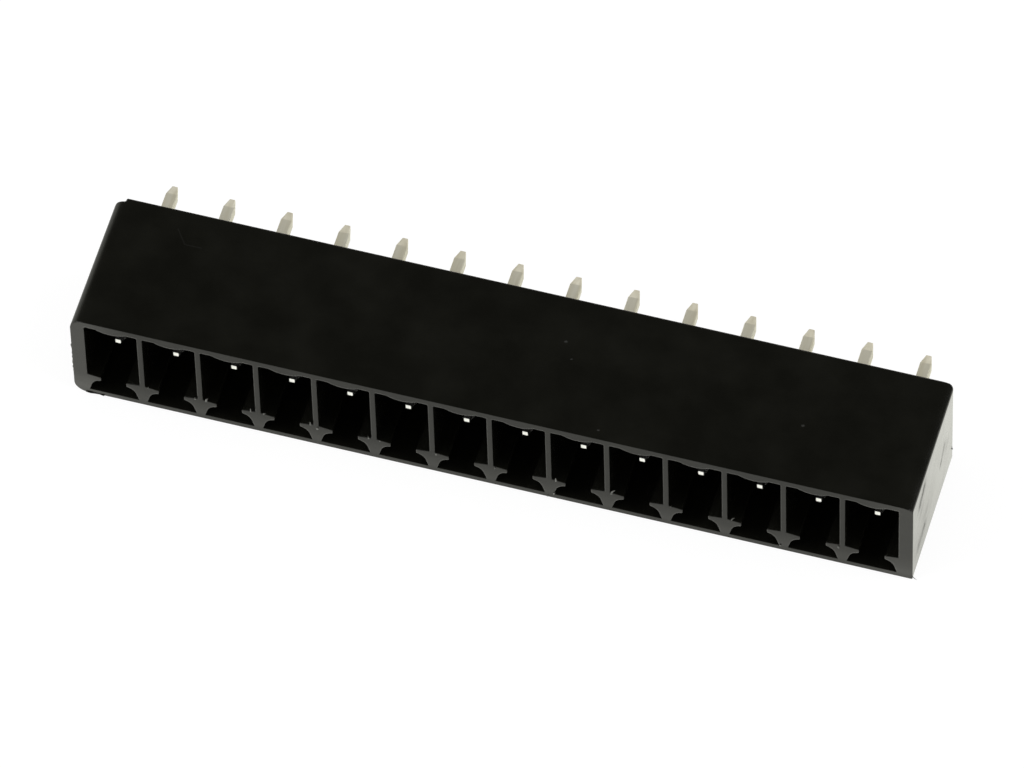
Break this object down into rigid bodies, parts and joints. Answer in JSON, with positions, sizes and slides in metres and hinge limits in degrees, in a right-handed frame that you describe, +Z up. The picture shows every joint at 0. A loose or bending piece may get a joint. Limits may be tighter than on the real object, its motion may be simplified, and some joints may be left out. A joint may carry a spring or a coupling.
{
  "type": "terminal block header",
  "caption": "Straight closed-end board header of a pluggable terminal block: a long black moulded shell with a row of plug chambers and straight tin-plated solder pins.",
  "frame": {"origin": "middle of the base of the overall box, tails included, with the header lying on one long side", "axes": "+X along the row from the first pole to the last, +Y from the plug opening to the solder tails, +Z up"},
  "size_m": [0.0548, 0.0136, 0.0076],
  "materials": {
    "housing_plastic": "black moulded glass-filled polyester, satin, greyer on the cut front faces",
    "tinned_pin": "dull tin plating over brass wire"
  },
  "bodies": {
    "root": {"housing": "housing_plastic", "contact_pin_01": "tinned_pin", "contact_pin_02": "tinned_pin", "contact_pin_03": "tinned_pin", "contact_pin_04": "tinned_pin", "contact_pin_05": "tinned_pin", "contact_pin_06": "tinned_pin", "contact_pin_07": "tinned_pin", "contact_pin_08": "tinned_pin", "contact_pin_09": "tinned_pin", "contact_pin_10": "tinned_pin", "contact_pin_11": "tinned_pin", "contact_pin_12": "tinned_pin", "contact_pin_13": "tinned_pin", "contact_pin_14": "tinned_pin"}
  },
  "joints": []
}
